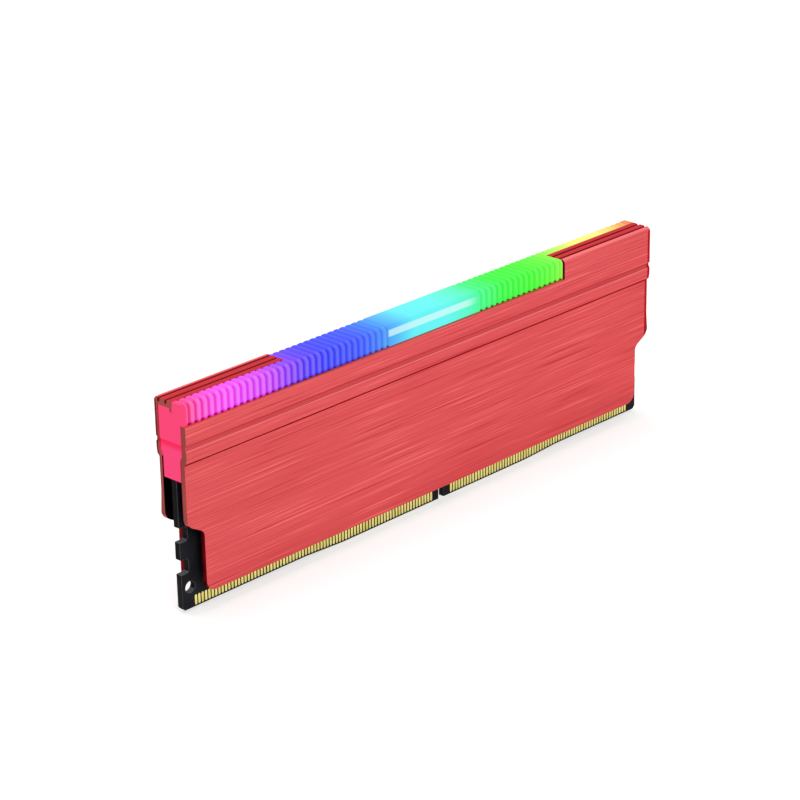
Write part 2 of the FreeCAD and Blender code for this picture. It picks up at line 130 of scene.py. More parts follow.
# Node helpers

def make_material(name, **sockets):
    """A material with the named sockets of its Principled shader set."""
    material = bpy.data.materials.new(name)
    material.use_nodes = True
    shader = material.node_tree.nodes["Principled BSDF"]
    for socket, value in sockets.items():
        shader.inputs[socket.replace("_", " ")].default_value = value
    return material, material.node_tree, shader


def add_node(tree, kind, **inputs):
    """A node with its inputs, by name or as in0, set to a number or joined to a socket."""
    node = tree.nodes.new(kind)
    for name, value in inputs.items():
        if name.startswith("in"):
            socket = node.inputs[int(name[2:])]
        else:
            socket = node.inputs[name.replace("_", " ")]
        if isinstance(value, bpy.types.NodeSocket):
            tree.links.new(value, socket)
        else:
            socket.default_value = value
    return node


def math_node(tree, operation, *values):
    """The result of a Math node on numbers or sockets."""
    node = tree.nodes.new("ShaderNodeMath")
    node.operation = operation
    for index, value in enumerate(values):
        if isinstance(value, bpy.types.NodeSocket):
            tree.links.new(value, node.inputs[index])
        else:
            node.inputs[index].default_value = value
    return node.outputs[0]


def position(tree):
    """The X, Y and Z of the shaded point in the module's own frame, in metres."""
    coordinates = tree.nodes.new("ShaderNodeTexCoord")
    split = add_node(tree, "ShaderNodeSeparateXYZ", in0=coordinates.outputs["Object"])
    return coordinates.outputs["Object"], split.outputs


def face_direction(tree):
    """The X, Y and Z of the surface's own direction."""
    geometry = tree.nodes.new("ShaderNodeNewGeometry")
    return add_node(tree, "ShaderNodeSeparateXYZ", in0=geometry.outputs["True Normal"]).outputs


def ramp(tree, factor, stops):
    """A colour ramp through (place, colour) stops."""
    node = tree.nodes.new("ShaderNodeValToRGB")
    node.color_ramp.interpolation = "LINEAR"
    elements = node.color_ramp.elements
    while len(elements) > 1:
        elements.remove(elements[-1])
    elements[0].position = stops[0][0]
    elements[0].color = (*stops[0][1], 1)
    for place, colour in stops[1:]:
        elements.new(place).color = (*colour, 1)
    tree.links.new(factor, node.inputs["Fac"])
    return node.outputs["Color"]


def remap(tree, value, low, high, to_low=0.0, to_high=1.0, smooth=False):
    """A value mapped from one range to another and held at its ends."""
    node = tree.nodes.new("ShaderNodeMapRange")
    node.interpolation_type = "SMOOTHSTEP" if smooth else "LINEAR"
    tree.links.new(value, node.inputs["Value"])
    for name, number in zip(("From Min", "From Max", "To Min", "To Max"), (low, high, to_low, to_high)):
        node.inputs[name].default_value = number
    return node.outputs["Result"]


def mix(tree, factor, first, second, blend="MIX"):
    """Two colours mixed by a factor."""
    node = tree.nodes.new("ShaderNodeMix")
    node.data_type = "RGBA"
    node.blend_type = blend
    for socket, value in ((node.inputs[0], factor), (node.inputs[6], first), (node.inputs[7], second)):
        if isinstance(value, bpy.types.NodeSocket):
            tree.links.new(value, socket)
        elif isinstance(value, (int, float)):
            socket.default_value = value
        else:
            socket.default_value = (*value, 1)
    return node.outputs[2]


def stretched_noise(tree, coordinates, scale, detail=2.0, roughness=0.5):
    """Noise whose grain has its own size along each axis; scale is in grains a metre."""
    mapping = add_node(tree, "ShaderNodeMapping", Vector=coordinates, Scale=scale)
    noise = add_node(
        tree, "ShaderNodeTexNoise", Vector=mapping.outputs[0], Scale=1.0, Detail=detail, Roughness=roughness
    )
    return noise.outputs["Fac"]


def bump(tree, height, strength, distance):
    """The surface direction over a relief, whose depth is the distance in metres."""
    node = add_node(tree, "ShaderNodeBump", Strength=strength, Distance=distance, Height=height)
    return node.outputs["Normal"]


def srgb(red, green, blue):
    """A colour given as 0 to 255 values of a screen, as linear light."""

    def linear(value):
        share = value / 255
        return share / 12.92 if share <= 0.04045 else ((share + 0.055) / 1.055) ** 2.4

    return (linear(red), linear(green), linear(blue))


# Colours and finishes

# Most of the noise lies between these values.
NOISE_LOW = 0.3
NOISE_HIGH = 0.7

RED_DEEP = srgb(186, 54, 59)
RED_LOW = srgb(217, 85, 88)
RED_HIGH = srgb(225, 95, 97)
RED_BRIGHT = srgb(246, 122, 122)
RED_CLOUD = srgb(223, 92, 95)
# Painted highlight on the chamfered top edge and along the ridge's upper edge.
RED_HIGHLIGHT = srgb(250, 146, 146)
# Painted shade on the up-facing slope of the long groove.
RED_SLOPE_SHADE = srgb(198, 72, 77)
# Painted shade: the dark line along the down-facing top of the long groove.
RED_LINE_SHADE = srgb(184, 54, 60)
# Painted shade: the dark line along the step below the ridge.
RED_STEP_SHADE = srgb(142, 18, 32)
# Painted shade on faces turned along the module, in the recesses by the ends.
RED_RECESS_SHADE = srgb(104, 8, 18)
# Painted shade on the rounded outer edges at the flanged ends.
RED_BEVEL_SHADE = srgb(182, 10, 26)
# Painted shade on the crowns of the flange's ridges.
RED_CROWN_SHADE = srgb(184, 46, 56)
# Painted highlight along the up-facing ledge below the light guide.
RED_LEDGE_HIGHLIGHT = srgb(226, 98, 84)
RED_TINT = (1.0, 0.3, 0.32)
# Painted shade in the furrows between the flange's ridges.
RED_FURROW_SHADE = srgb(128, 10, 24)
SAWN_END = srgb(160, 82, 76)
SAWN_END_WORN = srgb(148, 72, 68)
# Painted shade: the hidden faces inside the covers are near black.
INSIDE_SHADE = srgb(14, 8, 8)

# Colour of the lit bar at places along the module, in millimetres from its middle.
GLOW = [
    (-67, (253, 66, 118)),
    (-65, (255, 80, 164)),
    (-61, (255, 86, 222)),
    (-56, (255, 92, 255)),
    (-46, (222, 84, 253)),
    (-41, (166, 78, 253)),
    (-36, (108, 76, 252)),
    (-30, (74, 79, 254)),
    (-21, (72, 97, 255)),
    (-16, (72, 134, 253)),
    (-11, (88, 190, 252)),
    (-6, (104, 244, 251)),
    (3, (104, 251, 245)),
    (9, (94, 252, 207)),
    (14, (78, 253, 141)),
    (20, (68, 253, 76)),
    (29, (78, 254, 62)),
    (36, (112, 254, 68)),
    (42, (190, 252, 100)),
    (48, (253, 252, 129)),
    (56, (253, 250, 138)),
    (61, (252, 222, 118)),
    (64, (250, 180, 100)),
    (67, (240, 132, 84)),
]
# Painted highlight on the ribs' crests and painted shade in their valleys.
CREST_HIGHLIGHT = 0.1
VALLEY_SATURATION = 1.3
TOP_RIB_CONTRAST = 0.05
CONTRAST_FULL_TO = -46 * MM
CONTRAST_LOW_FROM = -22 * MM
LOW_CONTRAST = 0.5
# Painted shade at the feet of the rib valleys, by the cover's ledge.
VALLEY_FOOT_SHADE = srgb(96, 6, 52)
SHADE_SATURATION = 1.45
# Painted reflection: a paler, whitish stripe along the plain middle's faces.
REFLECTION_COLOUR = srgb(222, 255, 255)
REFLECTION_STRENGTH = 0.66
BAND_LOW = 40.9 * MM
BAND_HIGH = 42.3 * MM
BAND_SOFTNESS = 0.1 * MM
BAND_START = 0.5 * MM
BAND_FADE = 5 * MM
BAND_DEPTH = 0.5 * MM
GLOW_STRENGTH = 0.93
GLOW_REFLECTED = (0.05, 0.05, 0.05)

# Heights above the guide's shoulder where the ribs' light and shade begin and end.
FOOT_LOW = 0.05 * MM
FOOT_HIGH = 0.4 * MM
FOOT_ROUND_HIGH = 0.7 * MM
FADE_HIGH = 2.2 * MM
# How far the valleys widen at the foot, and how much the crests fade there at the right.
FOOT_ROUNDING = 0.6
FADE_STRENGTH = 0.7
# Distances from a rib's crest over which a shade changes: 1 is the middle of a valley, and more
# than 1 is its foot. The last two numbers are the shares that it changes from and to.
CREST_RANGE = (0.3, 0.6, 1.0, 0.0)
VALLEY_RANGE = (0.5, 0.85)
PIT_RANGE = (0.95, 1.25)
VALLEY_DIMMING = (0.9, 0.9, 0.9)
# How far the ribs' shade reaches past the first valley, below the shoulder and, as a share of
# the pitch, short of the end.
RIBS_EARLY = 0.3 * MM
RIBS_LOW = 0.2 * MM
RIBS_END_SHARE = 0.6
# Distances behind the guide's face where the ribs' light and shade fade in.
UPRIGHT_FROM = 1.15 * MM
UPRIGHT_TO = 0.6 * MM
# Distances below the top of the guide's web where its shade begins and is full.
SHADE_FROM = 1.9 * MM
SHADE_TO = 0.4 * MM

# Grains a metre along X, Y and Z.
HAIR_GRAIN = (20, 6200, 6200)
STREAK_GRAIN = (36, 3300, 3300)
CLOUD_GRAIN = (14, 90, 90)
GUIDE_GRAIN = (900, 900, 900)
WEAVE_GRAIN = (2400, 2400, 2400)
PATCH_GRAIN = (160, 160, 160)
GOLD_GRAIN = (1800, 1800, 500)
# Share of the fine lines in the relief of the brushing; the streaks have the rest.
HAIR_SHARE = 0.6
# Range of the noise over which a colour comes in, then from what share and to what share.
HAIR_RANGE = (0.35, 0.65)
CLOUD_RANGE = (0.35, 0.7, 0.0, 0.3)
BRIGHT_RANGE = (0.56, 0.7, 0.0, 0.9)
DEEP_RANGE = (0.43, 0.28, 0.0, 0.8)
WORN_RANGE = (0.4, 0.6)
# Roughness at the low and the high end of the noise.
RED_ROUGHNESS = (0.4, 0.52)
GOLD_ROUGHNESS = (0.26, 0.4)
# How strongly each painted highlight or shade covers the brushing.
CHAMFER_TINT = 0.5
PROUD_TINT = 0.6
SLOPE_TINT = 0.75
LINE_TINT = 0.8
CROWN_TINT = 0.75
FURROW_TINT = 0.92
# How far the painted highlights and shades reach from the edges that they belong to.
TINT_REACH = 0.1 * MM
PROUD_HEIGHT = 0.04 * MM
LINE_HEIGHT = 0.35 * MM
LINE_GAP = 0.02 * MM
STEP_REACH = 0.12 * MM
NECK_FROM_END = 0.5 * MM
END_TINT_GAP = 0.03 * MM
CHAMFER_GAP = 0.05 * MM
LEDGE_REACH = 0.2 * MM
# Share of a face's direction that lies along one axis.
END_FACING = 0.9
NEARLY_END_FACING = 0.97
TURNED = 0.3
UP_FACING = 0.7
ROUTED_UP_FACING = 0.6
MASK_FACING = 0.95
GOLD_FACING = 0.9

MASK_DARK = srgb(27, 27, 31)
MASK_LIGHT = srgb(37, 37, 42)
# Painted highlight on the board's rounded edges.
MASK_EDGE_HIGHLIGHT_DARK = srgb(66, 66, 69)
MASK_EDGE_HIGHLIGHT_LIGHT = srgb(84, 84, 88)
# Lit and shaded copies of the routed edge: painted shade on its sides, painted light where it faces up.
ROUTED_DARK = srgb(2, 2, 3)
ROUTED_LIGHT = srgb(10, 10, 11)
ROUTED_LIT_DARK = srgb(76, 76, 80)
ROUTED_LIT_LIGHT = srgb(96, 96, 101)
GOLD_DEEP = srgb(222, 208, 104)
GOLD_PALE = srgb(250, 242, 156)
# Painted shade on the contacts' flanks.
GOLD_FLANK_SHADE = srgb(112, 102, 24)

# Darker and lighter colour, roughness and grains a metre of the plain finishes.
PLAIN_FINISHES = {
    "chip_moulding": (srgb(28, 28, 30), srgb(40, 40, 43), 0.55, 1500),
    "thermal_pad_silicone": (srgb(118, 126, 136), srgb(134, 142, 152), 0.8, 900),
    "resistor_ceramic": (srgb(30, 28, 26), srgb(46, 43, 40), 0.4, 2500),
    "white_strip_board": (srgb(226, 226, 222), srgb(238, 238, 235), 0.45, 1200),
    "led_body": (srgb(236, 232, 214), srgb(248, 246, 232), 0.35, 2000),
}
ROUGHNESS_SPREAD = 0.06


def both(tree, *masks):
    """Where every mask is 1."""
    result = masks[0]
    for mask in masks[1:]:
        result = math_node(tree, "MULTIPLY", result, mask)
    return result


def above(tree, value, level):
    return math_node(tree, "GREATER_THAN", value, level)


def below(tree, value, level):
    return math_node(tree, "LESS_THAN", value, level)


def between(tree, value, low, high):
    return both(tree, above(tree, value, low), below(tree, value, high))


def tinted(tree, colour, mask, strength, tint):
    """A colour with a tint laid over it where the mask is 1."""
    return mix(tree, math_node(tree, "MULTIPLY", mask, strength), colour, tint)


def brushed_red():
    """Red anodised aluminium, brushed along its length.

    Painted highlights light up the chamfered top edge, the ridge's upper edge and the ledge under the guide.
    Painted shade darkens the long groove, the step, the flange's crowns and furrows, the recesses and
    rounded edges by the flanged ends, and the hidden faces inside. The sawn ends are duller.
    """
    material, tree, shader = make_material("brushed_red_aluminium", Metallic=0.75, Roughness=0.45)
    shader.inputs["Specular IOR Level"].default_value = 0.15
    shader.inputs["Specular Tint"].default_value = (*RED_TINT, 1)
    coordinates, place = position(tree)
    hair = stretched_noise(tree, coordinates, HAIR_GRAIN, roughness=0.55)
    streak = stretched_noise(tree, coordinates, STREAK_GRAIN)
    cloud = stretched_noise(tree, coordinates, CLOUD_GRAIN, detail=1.0)
    hair_part = math_node(tree, "MULTIPLY", hair, HAIR_SHARE)
    streak_part = math_node(tree, "MULTIPLY", streak, 1 - HAIR_SHARE)
    lines = math_node(tree, "ADD", hair_part, streak_part)
    brushed = mix(tree, remap(tree, hair, *HAIR_RANGE), RED_LOW, RED_HIGH)
    brushed = mix(tree, remap(tree, cloud, *CLOUD_RANGE), brushed, RED_CLOUD)
    brushed = mix(tree, remap(tree, streak, *BRIGHT_RANGE), brushed, RED_BRIGHT)
    brushed = mix(tree, remap(tree, streak, *DEEP_RANGE), brushed, RED_DEEP)
    side = math_node(tree, "ABSOLUTE", place[1])
    along = math_node(tree, "ABSOLUTE", place[0])
    up = place[2]
    way = face_direction(tree)
    endward = math_node(tree, "ABSOLUTE", way[0])

    # Painted highlight on the chamfered top edge.
    outside = above(tree, side, FLANGE_GROOVE_REACH - TINT_REACH)
    chamfer_highlight = both(tree, above(tree, up, top - CHAMFER / 2), outside)
    colour = tinted(tree, brushed, chamfer_highlight, CHAMFER_TINT, RED_HIGHLIGHT)
    slope_low = LINE_GROOVE_LOW + PROUD_HEIGHT
    slope_high = LINE_GROOVE_HIGH - LINE_HEIGHT
    # Painted highlight along the ridge's upper edge, below the long groove.
    proud_highlight = between(tree, up, LINE_GROOVE_LOW - TINT_REACH, slope_low)
    colour = tinted(tree, colour, proud_highlight, PROUD_TINT, RED_HIGHLIGHT)
    # Painted shade on the up-facing slope of the long groove.
    colour = tinted(tree, colour, between(tree, up, slope_low, slope_high), SLOPE_TINT, RED_SLOPE_SHADE)
    # Painted shade: the dark line along the down-facing top of the long groove.
    line_shade = between(tree, up, slope_high, LINE_GROOVE_HIGH - LINE_GAP)
    colour = tinted(tree, colour, line_shade, LINE_TINT, RED_LINE_SHADE)
    # Painted shade: the dark line along the step below the ridge.
    colour = mix(tree, between(tree, up, STEP_LOW - STEP_REACH, STEP_HIGH), colour, RED_STEP_SHADE)
    inward = below(tree, side, FLANGE_GROOVE_REACH)
    crown_low = top - TINT_REACH
    # Painted shade on the crowns of the flange's ridges.
    crown_shade = both(tree, above(tree, up, crown_low), inward)
    colour = tinted(tree, colour, crown_shade, CROWN_TINT, RED_CROWN_SHADE)
    # Painted shade in the furrows between the flange's ridges.
    furrow_shade = both(tree, between(tree, up, crown_low - FLANGE_GROOVE_DEPTH, crown_low), inward)
    colour = tinted(tree, colour, furrow_shade, FURROW_TINT, RED_FURROW_SHADE)

    sawn = mix(tree, remap(tree, cloud, *WORN_RANGE), SAWN_END, SAWN_END_WORN)
    colour = mix(tree, above(tree, endward, END_FACING), colour, sawn)
    turned = above(tree, endward, TURNED)
    # Painted shade on faces turned along the module, short of its ends.
    neck_shade = both(tree, below(tree, along, half_length - NECK_FROM_END), turned)
    colour = mix(tree, neck_shade, colour, RED_RECESS_SHADE)
    # Painted shade on the rounded outer edge at the flanged end, darkest where it turns toward the end.
    shaded_rounded_end = both(
        tree,
        above(tree, along, half_length - END_ROUNDING[0][0] + END_TINT_GAP),
        below(tree, math_node(tree, "MULTIPLY", place[0], place[1]), 0.0),
        below(tree, endward, NEARLY_END_FACING),
        above(tree, side, FLANGE_GROOVE_REACH + LINE_GAP),
        below(tree, up, top - CHAMFER - CHAMFER_GAP),
    )
    colour = mix(tree, shaded_rounded_end, colour, RED_BEVEL_SHADE)
    colour = mix(tree, both(tree, shaded_rounded_end, turned), colour, RED_RECESS_SHADE)
    # Painted highlight along the up-facing ledge below the light guide.
    ledge_highlight = between(tree, up, OPEN_EDGE - LEDGE_REACH, OPEN_EDGE + TINT_REACH)
    colour = mix(tree, both(tree, above(tree, way[2], UP_FACING), ledge_highlight), colour, RED_LEDGE_HIGHLIGHT)
    # Painted shade: the hidden faces inside the covers are near black.
    inner_shade = below(tree, side, COVER_INNER_FACE + TINT_REACH)
    colour = mix(tree, both(tree, inner_shade, below(tree, up, STEP_HIGH)), colour, INSIDE_SHADE)
    tree.links.new(colour, shader.inputs["Base Color"])
    roughness = remap(tree, hair, NOISE_LOW, NOISE_HIGH, *RED_ROUGHNESS)
    tree.links.new(roughness, shader.inputs["Roughness"])
    tree.links.new(bump(tree, lines, strength=0.2, distance=0.00002), shader.inputs["Normal"])
    return material


def lit_plastic():
    """Clear moulding lit from inside: a run of colours, with a painted highlight on the ribs and painted
    shade between them.
    """
    material, tree, shader = make_material("lit_light_guide", Roughness=0.4, IOR=1.15)
    coordinates, place = position(tree)
    up = place[2]
    glow_along = remap(tree, place[0], -half_length, half_length)
    stops = [((x * MM + half_length) / (2 * half_length), srgb(*colour)) for x, colour in GLOW]
    glow = ramp(tree, glow_along, stops)

    # 0 on the crest of a rib and 1 in the valley beside it.
    away = math_node(tree, "SUBTRACT", math_node(tree, "ABSOLUTE", place[0]), PLAIN_HALF)
    phase = math_node(tree, "FRACT", math_node(tree, "DIVIDE", away, rib_pitch))
    from_middle = math_node(tree, "ABSOLUTE", math_node(tree, "SUBTRACT", phase, 0.5))
    from_crest = math_node(tree, "MULTIPLY", from_middle, 2.0)
    foot_low = GUIDE_SHOULDER + FOOT_LOW
    round_high = GUIDE_SHOULDER + FOOT_ROUND_HIGH
    rounding = remap(tree, up, foot_low, round_high, FOOT_ROUNDING, 0.0, smooth=True)
    from_crest = math_node(tree, "ADD", from_crest, rounding)
    ribbed = both(
        tree,
        above(tree, away, -RIBS_EARLY),
        below(tree, away, half_length - PLAIN_HALF - RIBS_END_SHARE * rib_pitch),
        above(tree, up, GUIDE_SHOULDER - RIBS_LOW),
    )
    valley = remap(tree, from_crest, *VALLEY_RANGE, smooth=True)
    crest = remap(tree, from_crest, *CREST_RANGE, smooth=True)
    depth = math_node(tree, "ABSOLUTE", place[1])
    upright_from = guide_face - UPRIGHT_FROM
    upright_to = guide_face - UPRIGHT_TO
    upright = remap(tree, depth, upright_from, upright_to, TOP_RIB_CONTRAST, 1.0, smooth=True)
    fade_low = GUIDE_SHOULDER + FOOT_HIGH
    low_fade = remap(tree, up, fade_low, GUIDE_SHOULDER + FADE_HIGH, 1.0, 0.0, smooth=True)
    low_fade = both(tree, low_fade, remap(tree, place[0], 0.0, PLAIN_HALF, 0.0, FADE_STRENGTH))
    contrast = remap(tree, place[0], CONTRAST_FULL_TO, CONTRAST_LOW_FROM, 1.0, LOW_CONTRAST)
    crest = both(tree, crest, ribbed, upright, contrast, math_node(tree, "SUBTRACT", 1.0, low_fade))
    valley = both(tree, valley, ribbed, upright, contrast)
    # Painted highlight on the crests and painted shade in the valleys of the ribs.
    crest_highlight = mix(tree, CREST_HIGHLIGHT, glow, (1, 1, 1))
    valley_shade = add_node(tree, "ShaderNodeGamma", Color=glow, Gamma=VALLEY_SATURATION).outputs[0]
    valley_shade = mix(tree, 1.0, valley_shade, VALLEY_DIMMING, "MULTIPLY")
    colour = mix(tree, crest, glow, crest_highlight)
    colour = mix(tree, valley, colour, valley_shade)
    # Painted shade at the feet of the rib valleys, by the cover's ledge.
    foot = remap(tree, up, foot_low, fade_low, 1.0, 0.0, smooth=True)
    pit_shade = both(tree, remap(tree, from_crest, *PIT_RANGE, smooth=True), ribbed, foot)
    colour = mix(tree, pit_shade, colour, VALLEY_FOOT_SHADE)

    # A painted reflection: the paler stripe on the plain middle starts at its left end, seen from either
    # face.
    facing = math_node(tree, "SIGN", place[1])
    turned_along = math_node(tree, "MULTIPLY", math_node(tree, "MULTIPLY", place[0], facing), -1.0)
    softness = BAND_SOFTNESS
    band_start = -PLAIN_HALF + softness
    fade_start = PLAIN_HALF - BAND_FADE
    reflection_band = both(
        tree,
        remap(tree, up, BAND_LOW - softness, BAND_LOW + softness, smooth=True),
        remap(tree, up, BAND_HIGH - softness, BAND_HIGH + softness, 1.0, 0.0, smooth=True),
        remap(tree, turned_along, band_start, -PLAIN_HALF + BAND_START, smooth=True),
        remap(tree, turned_along, fade_start, PLAIN_HALF - BAND_START, 1.0, 0.0, smooth=True),
        above(tree, depth, guide_face - BAND_DEPTH),
    )
    colour = tinted(tree, colour, reflection_band, REFLECTION_STRENGTH, REFLECTION_COLOUR)

    shade_from = GUIDE_WEB_TOP - SHADE_FROM
    shade = remap(tree, up, shade_from, GUIDE_WEB_TOP - SHADE_TO, smooth=True)
    shade = both(tree, shade, below(tree, up, GUIDE_WEB_TOP))
    shaded = add_node(tree, "ShaderNodeGamma", Color=glow, Gamma=SHADE_SATURATION).outputs[0]
    colour = mix(tree, shade, colour, shaded)
    tree.links.new(colour, shader.inputs["Emission Color"])
    shader.inputs["Emission Strength"].default_value = GLOW_STRENGTH
    tree.links.new(mix(tree, 1.0, colour, GLOW_REFLECTED, "MULTIPLY"), shader.inputs["Base Color"])
    grain = stretched_noise(tree, coordinates, GUIDE_GRAIN)
    tree.links.new(bump(tree, grain, strength=0.1, distance=0.00002), shader.inputs["Normal"])
    return material


def solder_mask():
    """Black board: smooth coated faces over a woven core, painted highlights on its rounded edges, and
    painted shade and light on its routed edges.
    """
    material, tree, shader = make_material("black_solder_mask", Roughness=0.5)
    shader.inputs["Specular IOR Level"].default_value = 0.05
    coordinates = position(tree)[0]
    weave = stretched_noise(tree, coordinates, WEAVE_GRAIN)
    patch = stretched_noise(tree, coordinates, PATCH_GRAIN)
    grain = remap(tree, weave, NOISE_LOW, NOISE_HIGH)
    coated = mix(tree, remap(tree, patch, NOISE_LOW, NOISE_HIGH), MASK_DARK, MASK_LIGHT)
    edge = mix(tree, grain, MASK_EDGE_HIGHLIGHT_DARK, MASK_EDGE_HIGHLIGHT_LIGHT)
    routed = mix(tree, grain, ROUTED_DARK, ROUTED_LIGHT)
    lit_upward = mix(tree, grain, ROUTED_LIT_DARK, ROUTED_LIT_LIGHT)
    way = face_direction(tree)
    flat = math_node(tree, "ABSOLUTE", way[1])
    # Painted highlight on the rounded edges between the coated faces and the sides.
    colour = mix(tree, below(tree, flat, MASK_FACING), coated, edge)
    # Painted shade on the routed sides, and painted light on routed faces that face up.
    colour = mix(tree, below(tree, flat, TURNED), colour, routed)
    colour = mix(tree, above(tree, way[2], ROUTED_UP_FACING), colour, lit_upward)
    tree.links.new(colour, shader.inputs["Base Color"])
    tree.links.new(bump(tree, weave, strength=0.15, distance=0.00002), shader.inputs["Normal"])
    return material


def gold_plate():
    """Pale gold over copper: polished crowns, with painted shade on the flanks."""
    material, tree, shader = make_material("gold_plate", Metallic=0.9, Roughness=0.3)
    coordinates = position(tree)[0]
    grain = stretched_noise(tree, coordinates, GOLD_GRAIN)
    tone = mix(tree, remap(tree, grain, NOISE_LOW, NOISE_HIGH), GOLD_DEEP, GOLD_PALE)
    way = face_direction(tree)
    # Painted shade on the contacts' flanks.
    flank_shade = below(tree, math_node(tree, "ABSOLUTE", way[1]), GOLD_FACING)
    tree.links.new(mix(tree, flank_shade, tone, GOLD_FLANK_SHADE), shader.inputs["Base Color"])
    roughness = remap(tree, grain, NOISE_LOW, NOISE_HIGH, *GOLD_ROUGHNESS)
    tree.links.new(roughness, shader.inputs["Roughness"])
    tree.links.new(bump(tree, grain, strength=0.1, distance=0.00001), shader.inputs["Normal"])
    return material


def moulded(name, dark, light, roughness, scale):
    """A matt moulded or coated surface with a fine grain in colour and height."""
    material, tree, shader = make_material(name, Roughness=roughness)
    coordinates = position(tree)[0]
    grain = stretched_noise(tree, coordinates, (scale, scale, scale), detail=3.0)
    share = remap(tree, grain, NOISE_LOW, NOISE_HIGH)
    tree.links.new(mix(tree, share, dark, light), shader.inputs["Base Color"])
    smooth = roughness - ROUGHNESS_SPREAD
    rough = roughness + ROUGHNESS_SPREAD
    varied = remap(tree, grain, NOISE_LOW, NOISE_HIGH, smooth, rough)
    tree.links.new(varied, shader.inputs["Roughness"])
    tree.links.new(bump(tree, grain, strength=0.2, distance=0.00003), shader.inputs["Normal"])
    return material


# Mesh helpers

def link(piece_object):
    bpy.context.scene.collection.objects.link(piece_object)
    return piece_object


def finish_mesh(mesh, material, sharp_degrees=32):
    """Smooth shading between faces that meet at less than the given angle."""
    mesh.materials.clear()
    mesh.materials.append(material)
    for face in mesh.polygons:
        face.use_smooth = True
    mesh.set_sharp_from_angle(angle=math.radians(sharp_degrees))


def evaluated_copy(piece_object, name):
    """The object's mesh with its modifiers applied, under a new name."""
    graph = bpy.context.evaluated_depsgraph_get()
    mesh = bpy.data.meshes.new_from_object(piece_object.evaluated_get(graph))
    bpy.data.objects.remove(piece_object, do_unlink=True)
    return link(bpy.data.objects.new(name, mesh))


def round_end(cleaned, end):
    """Rounds the outer edge of a cover's flanged end, which lies at X = end, in two flats."""
    # On both covers, inward along X and outward along Y have the same sign.
    inward = outer = -math.copysign(1, end)
    for setback, _ in END_ROUNDING:
        everything = list(cleaned.verts) + list(cleaned.edges) + list(cleaned.faces)
        place = (end + inward * setback, 0, 0)
        bmesh.ops.bisect_plane(cleaned, geom=everything, dist=ON_PLANE, plane_co=place, plane_no=(1, 0, 0))
    for vert in cleaned.verts:
        if vert.co.y * outer < END_ROUNDING_FROM:
            continue
        for setback, shift in END_ROUNDING:
            if abs(vert.co.x - end - inward * setback) < SAME_POINT:
                vert.co.y -= outer * shift


def softened_copy(node, name, material, width, segments=2, flanged_end=None):
    """A copy of a solid with its sharp edges slightly rounded, which stands for that solid."""
    mesh = nodes[node].data.copy()
    cleaned = bmesh.new()
    cleaned.from_mesh(mesh)
    bmesh.ops.remove_doubles(cleaned, verts=cleaned.verts, dist=SAME_POINT)
    bmesh.ops.dissolve_limit(
        cleaned, angle_limit=FLAT_ANGLE, verts=cleaned.verts, edges=cleaned.edges
    )
    if flanged_end is not None:
        round_end(cleaned, flanged_end)
    cleaned.to_mesh(mesh)
    cleaned.free()
    for face in mesh.polygons:
        face.use_smooth = True
    rough = link(bpy.data.objects.new(f"{name}_rough", mesh))
    modifier = rough.modifiers.new("edges", "BEVEL")
    modifier.width = width
    modifier.segments = segments
    modifier.limit_method = "ANGLE"
    modifier.angle_limit = SOFTENED_ANGLE
    modifier.use_clamp_overlap = True
    modifier.miter_outer = "MITER_ARC"
    modifier.harden_normals = True
    piece_object = evaluated_copy(rough, name)
    low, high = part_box(node)
    for vert in piece_object.data.vertices:
        vert.co = [min(max(value, least), most) for value, least, most in zip(vert.co, low, high)]
    finish_mesh(piece_object.data, material)
    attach(piece_object, "root")
    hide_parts(node)
    return piece_object


def prism(name, outline, start, end):
    """A closed prism along X through an outline of (Y, Z) points, listed anticlockwise seen from +X."""
    mesh = bpy.data.meshes.new(name)
    count = len(outline)
    points = [(start, y, z) for y, z in outline] + [(end, y, z) for y, z in outline]
    sides = [(i, (i + 1) % count, count + (i + 1) % count, count + i) for i in range(count)]
    caps = [tuple(reversed(range(count))), tuple(range(count, 2 * count))]
    mesh.from_pydata(points, [], sides + caps)
    return link(bpy.data.objects.new(name, mesh))


def cut_away(target, cutter):
    """Subtracts one closed mesh from another."""
    modifier = target.modifiers.new("cut", "BOOLEAN")
    modifier.operation = "DIFFERENCE"
    modifier.solver = "EXACT"
    modifier.object = cutter
    name = target.name
    target.name = f"{name}_uncut"
    result = evaluated_copy(target, name)
    bpy.data.objects.remove(cutter, do_unlink=True)
    return result


def rib_inset(x):
    """How far the bar's skin lies inside its crest at a place along the module."""
    away = abs(x) - PLAIN_HALF
    if away < 0 or away > half_length - PLAIN_HALF - rib_pitch / 2:
        return 0.0 if away < -rib_pitch / 2 or away > 0 else rib_shape(-away)
    return rib_shape(abs((away / rib_pitch + 0.5) % 1.0 - 0.5) * rib_pitch)


def rib_shape(from_valley):
    """Inset at a distance from the middle of a valley: rounded ribs with narrow valleys."""
    share = max(0.0, 1 - from_valley / (rib_pitch / 2))
    return RIB_DEPTH * (1 - (1 - share ** RIB_ROUNDNESS) ** (1 / RIB_ROUNDNESS))


def rib_stations():
    """Places along the module where the ribbed skin gets a section."""
    places = [-half_length, half_length]
    for valley in range(RIB_COUNT):
        middle = PLAIN_HALF + valley * rib_pitch
        for step in range(-RIB_STEPS // 2, RIB_STEPS // 2 + 1):
            share = step / (RIB_STEPS / 2)
            place = middle + math.copysign(abs(share) ** RIB_CROWDING, share) * rib_pitch / 2
            places += [place, -place]
    places = sorted(places)
    return [x for i, x in enumerate(places) if i == 0 or x - places[i - 1] > SAME_POINT]


